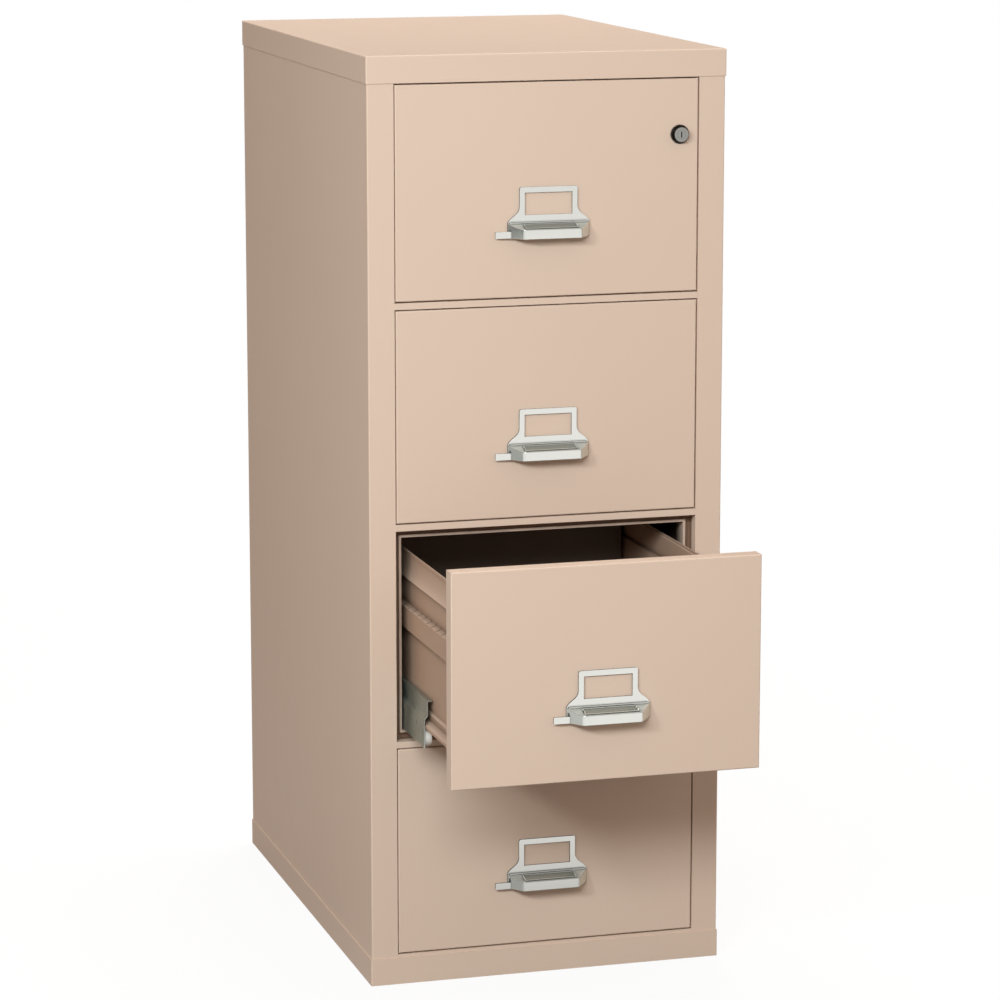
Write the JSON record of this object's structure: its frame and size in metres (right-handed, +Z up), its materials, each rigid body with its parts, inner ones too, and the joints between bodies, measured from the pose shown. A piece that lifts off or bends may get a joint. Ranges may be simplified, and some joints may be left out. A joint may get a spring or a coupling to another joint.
{
  "type": "fireproof filing cabinet",
  "caption": "Upright fire-resistant filing cabinet with insulated drawers on roller slides, chrome pulls with label frames and a push lock.",
  "frame": {"origin": "on the floor at the centre of the casing's footprint", "axes": "+Z up, -Y is the side that the drawers open to, +X is the lock's side"},
  "size_m": [0.5286, 1.0981, 1.3398],
  "materials": {
    "casing_enamel": "satin",
    "drawer_enamel": "satin",
    "lining_enamel": "satin",
    "insulation": "matte",
    "zinc_steel": "satin",
    "nylon": "satin",
    "screw_steel": "satin",
    "chrome_pull": "polished",
    "divider_steel": "satin",
    "lock_dark": "satin"
  },
  "bodies": {
    "cabinet": {"top_cap": "casing_enamel", "base_plinth": "casing_enamel", "casing_wrapper": "casing_enamel", "frame_rails": "casing_enamel", "back_panel": "casing_enamel", "insulation_core": "insulation", "cavity_linings": "lining_enamel", "seal_channels": "lining_enamel", "slide_tracks": "zinc_steel", "glide_pads": "nylon", "back_screws": "screw_steel"},
    "drawer_1": {"drawer_front_1": "drawer_enamel", "head_core_1": "insulation", "drawer_tray_1": "drawer_enamel", "drawer_sides_1": "drawer_enamel", "handle_1": "chrome_pull", "lock_collar": "lock_dark"},
    "rails_1": {"slide_rails_1": "zinc_steel"},
    "rail_rollers_1": {"rail_rollers_1": "nylon"},
    "track_rollers_1": {"track_rollers_1": "nylon"},
    "drawer_rollers_1": {"drawer_rollers_1": "nylon"},
    "latch_1": {"thumb_latch_1": "chrome_pull"},
    "follower_1": {"follower_block_1": "divider_steel"},
    "drawer_2": {"drawer_front_2": "drawer_enamel", "head_core_2": "insulation", "drawer_tray_2": "drawer_enamel", "drawer_sides_2": "drawer_enamel", "handle_2": "chrome_pull"},
    "rails_2": {"slide_rails_2": "zinc_steel"},
    "rail_rollers_2": {"rail_rollers_2": "nylon"},
    "track_rollers_2": {"track_rollers_2": "nylon"},
    "drawer_rollers_2": {"drawer_rollers_2": "nylon"},
    "latch_2": {"thumb_latch_2": "chrome_pull"},
    "follower_2": {"follower_block_2": "divider_steel"},
    "drawer_3": {"drawer_front_3": "drawer_enamel", "head_core_3": "insulation", "drawer_tray_3": "drawer_enamel", "drawer_sides_3": "drawer_enamel", "handle_3": "chrome_pull"},
    "rails_3": {"slide_rails_3": "zinc_steel"},
    "rail_rollers_3": {"rail_rollers_3": "nylon"},
    "track_rollers_3": {"track_rollers_3": "nylon"},
    "drawer_rollers_3": {"drawer_rollers_3": "nylon"},
    "latch_3": {"thumb_latch_3": "chrome_pull"},
    "follower_3": {"follower_block_3": "divider_steel"},
    "drawer_4": {"drawer_front_4": "drawer_enamel", "head_core_4": "insulation", "drawer_tray_4": "drawer_enamel", "drawer_sides_4": "drawer_enamel", "handle_4": "chrome_pull"},
    "rails_4": {"slide_rails_4": "zinc_steel"},
    "rail_rollers_4": {"rail_rollers_4": "nylon"},
    "track_rollers_4": {"track_rollers_4": "nylon"},
    "drawer_rollers_4": {"drawer_rollers_4": "nylon"},
    "latch_4": {"thumb_latch_4": "chrome_pull"},
    "follower_4": {"follower_block_4": "divider_steel"},
    "lock_plunger": {"lock_plunger": "chrome_pull"},
    "key_plug": {"key_plug": "chrome_pull"},
    "lock_bar": {"lock_bar": "zinc_steel"}
  },
  "joints": [
    {"name": "drawer_1_slide", "type": "slide", "parent": "cabinet", "child": "drawer_1", "axis": [0, -1, 0], "range_m": [0, 0.64]},
    {"name": "rails_1_slide", "type": "slide", "parent": "cabinet", "child": "rails_1", "axis": [0, -1, 0], "range_m": [0, 0.32]},
    {"name": "rail_rollers_1_turn", "type": "hinge", "parent": "rails_1", "child": "rail_rollers_1", "pos_m": [0, -0.3296, 1.021], "axis": [1, 0, 0], "continuous": true},
    {"name": "track_rollers_1_turn", "type": "hinge", "parent": "rails_1", "child": "track_rollers_1", "pos_m": [0, 0.2384, 1.0638], "axis": [1, 0, 0], "continuous": true},
    {"name": "drawer_rollers_1_turn", "type": "hinge", "parent": "drawer_1", "child": "drawer_rollers_1", "pos_m": [0, 0.2274, 1.021], "axis": [1, 0, 0], "continuous": true},
    {"name": "latch_1_press", "type": "slide", "parent": "drawer_1", "child": "latch_1", "axis": [1, 0, 0], "range_m": [0, 0.006], "stiffness_N_per_m": 300},
    {"name": "follower_1_slide", "type": "slide", "parent": "drawer_1", "child": "follower_1", "axis": [0, -1, 0], "range_m": [-0.12, 0.42]},
    {"name": "drawer_2_slide", "type": "slide", "parent": "cabinet", "child": "drawer_2", "axis": [0, -1, 0], "range_m": [0, 0.64]},
    {"name": "rails_2_slide", "type": "slide", "parent": "cabinet", "child": "rails_2", "axis": [0, -1, 0], "range_m": [0, 0.32]},
    {"name": "rail_rollers_2_turn", "type": "hinge", "parent": "rails_2", "child": "rail_rollers_2", "pos_m": [0, -0.3296, 0.7045], "axis": [1, 0, 0], "continuous": true},
    {"name": "track_rollers_2_turn", "type": "hinge", "parent": "rails_2", "child": "track_rollers_2", "pos_m": [0, 0.2384, 0.7473], "axis": [1, 0, 0], "continuous": true},
    {"name": "drawer_rollers_2_turn", "type": "hinge", "parent": "drawer_2", "child": "drawer_rollers_2", "pos_m": [0, 0.2274, 0.7045], "axis": [1, 0, 0], "continuous": true},
    {"name": "latch_2_press", "type": "slide", "parent": "drawer_2", "child": "latch_2", "axis": [1, 0, 0], "range_m": [0, 0.006], "stiffness_N_per_m": 300},
    {"name": "follower_2_slide", "type": "slide", "parent": "drawer_2", "child": "follower_2", "axis": [0, -1, 0], "range_m": [-0.12, 0.42]},
    {"name": "drawer_3_slide", "type": "slide", "parent": "cabinet", "child": "drawer_3", "axis": [0, -1, 0], "range_m": [-0.285, 0.355]},
    {"name": "rails_3_slide", "type": "slide", "parent": "cabinet", "child": "rails_3", "axis": [0, -1, 0], "range_m": [-0.1425, 0.1775]},
    {"name": "rail_rollers_3_turn", "type": "hinge", "parent": "rails_3", "child": "rail_rollers_3", "pos_m": [0, -0.4721, 0.388], "axis": [1, 0, 0], "continuous": true},
    {"name": "track_rollers_3_turn", "type": "hinge", "parent": "rails_3", "child": "track_rollers_3", "pos_m": [0, 0.0959, 0.4308], "axis": [1, 0, 0], "continuous": true},
    {"name": "drawer_rollers_3_turn", "type": "hinge", "parent": "drawer_3", "child": "drawer_rollers_3", "pos_m": [0, -0.0576, 0.388], "axis": [1, 0, 0], "continuous": true},
    {"name": "latch_3_press", "type": "slide", "parent": "drawer_3", "child": "latch_3", "axis": [1, 0, 0], "range_m": [0, 0.006], "stiffness_N_per_m": 300},
    {"name": "follower_3_slide", "type": "slide", "parent": "drawer_3", "child": "follower_3", "axis": [0, -1, 0], "range_m": [-0.12, 0.42]},
    {"name": "drawer_4_slide", "type": "slide", "parent": "cabinet", "child": "drawer_4", "axis": [0, -1, 0], "range_m": [0, 0.64]},
    {"name": "rails_4_slide", "type": "slide", "parent": "cabinet", "child": "rails_4", "axis": [0, -1, 0], "range_m": [0, 0.32]},
    {"name": "rail_rollers_4_turn", "type": "hinge", "parent": "rails_4", "child": "rail_rollers_4", "pos_m": [0, -0.3296, 0.0715], "axis": [1, 0, 0], "continuous": true},
    {"name": "track_rollers_4_turn", "type": "hinge", "parent": "rails_4", "child": "track_rollers_4", "pos_m": [0, 0.2384, 0.1143], "axis": [1, 0, 0], "continuous": true},
    {"name": "drawer_rollers_4_turn", "type": "hinge", "parent": "drawer_4", "child": "drawer_rollers_4", "pos_m": [0, 0.2274, 0.0715], "axis": [1, 0, 0], "continuous": true},
    {"name": "latch_4_press", "type": "slide", "parent": "drawer_4", "child": "latch_4", "axis": [1, 0, 0], "range_m": [0, 0.006], "stiffness_N_per_m": 300},
    {"name": "follower_4_slide", "type": "slide", "parent": "drawer_4", "child": "follower_4", "axis": [0, -1, 0], "range_m": [-0.12, 0.42]},
    {"name": "lock_push", "type": "slide", "parent": "drawer_1", "child": "lock_plunger", "axis": [0, 1, 0], "range_m": [0, 0.007]},
    {"name": "key_turn", "type": "hinge", "parent": "lock_plunger", "child": "key_plug", "pos_m": [0.1947, -0.4026, 1.22005], "axis": [0, -1, 0], "range_deg": [-90, 0]},
    {"name": "lock_bar_lift", "type": "slide", "parent": "cabinet", "child": "lock_bar", "axis": [0, 0, 1], "range_m": [0, 0.007]}
  ],
  "couplings": [
    {"joint": "rails_1_slide", "follows": "drawer_1_slide", "ratio": 0.5},
    {"joint": "rail_rollers_1_turn", "follows": "drawer_1_slide", "rad_per_m": 37.037},
    {"joint": "track_rollers_1_turn", "follows": "drawer_1_slide", "rad_per_m": 66.667},
    {"joint": "drawer_rollers_1_turn", "follows": "drawer_1_slide", "rad_per_m": 41.667},
    {"joint": "rails_2_slide", "follows": "drawer_2_slide", "ratio": 0.5},
    {"joint": "rail_rollers_2_turn", "follows": "drawer_2_slide", "rad_per_m": 37.037},
    {"joint": "track_rollers_2_turn", "follows": "drawer_2_slide", "rad_per_m": 66.667},
    {"joint": "drawer_rollers_2_turn", "follows": "drawer_2_slide", "rad_per_m": 41.667},
    {"joint": "rails_3_slide", "follows": "drawer_3_slide", "ratio": 0.5},
    {"joint": "rail_rollers_3_turn", "follows": "drawer_3_slide", "rad_per_m": 37.037},
    {"joint": "track_rollers_3_turn", "follows": "drawer_3_slide", "rad_per_m": 66.667},
    {"joint": "drawer_rollers_3_turn", "follows": "drawer_3_slide", "rad_per_m": 41.667},
    {"joint": "rails_4_slide", "follows": "drawer_4_slide", "ratio": 0.5},
    {"joint": "rail_rollers_4_turn", "follows": "drawer_4_slide", "rad_per_m": 37.037},
    {"joint": "track_rollers_4_turn", "follows": "drawer_4_slide", "rad_per_m": 66.667},
    {"joint": "drawer_rollers_4_turn", "follows": "drawer_4_slide", "rad_per_m": 41.667},
    {"joint": "lock_bar_lift", "follows": "lock_push", "ratio": 1}
  ]
}
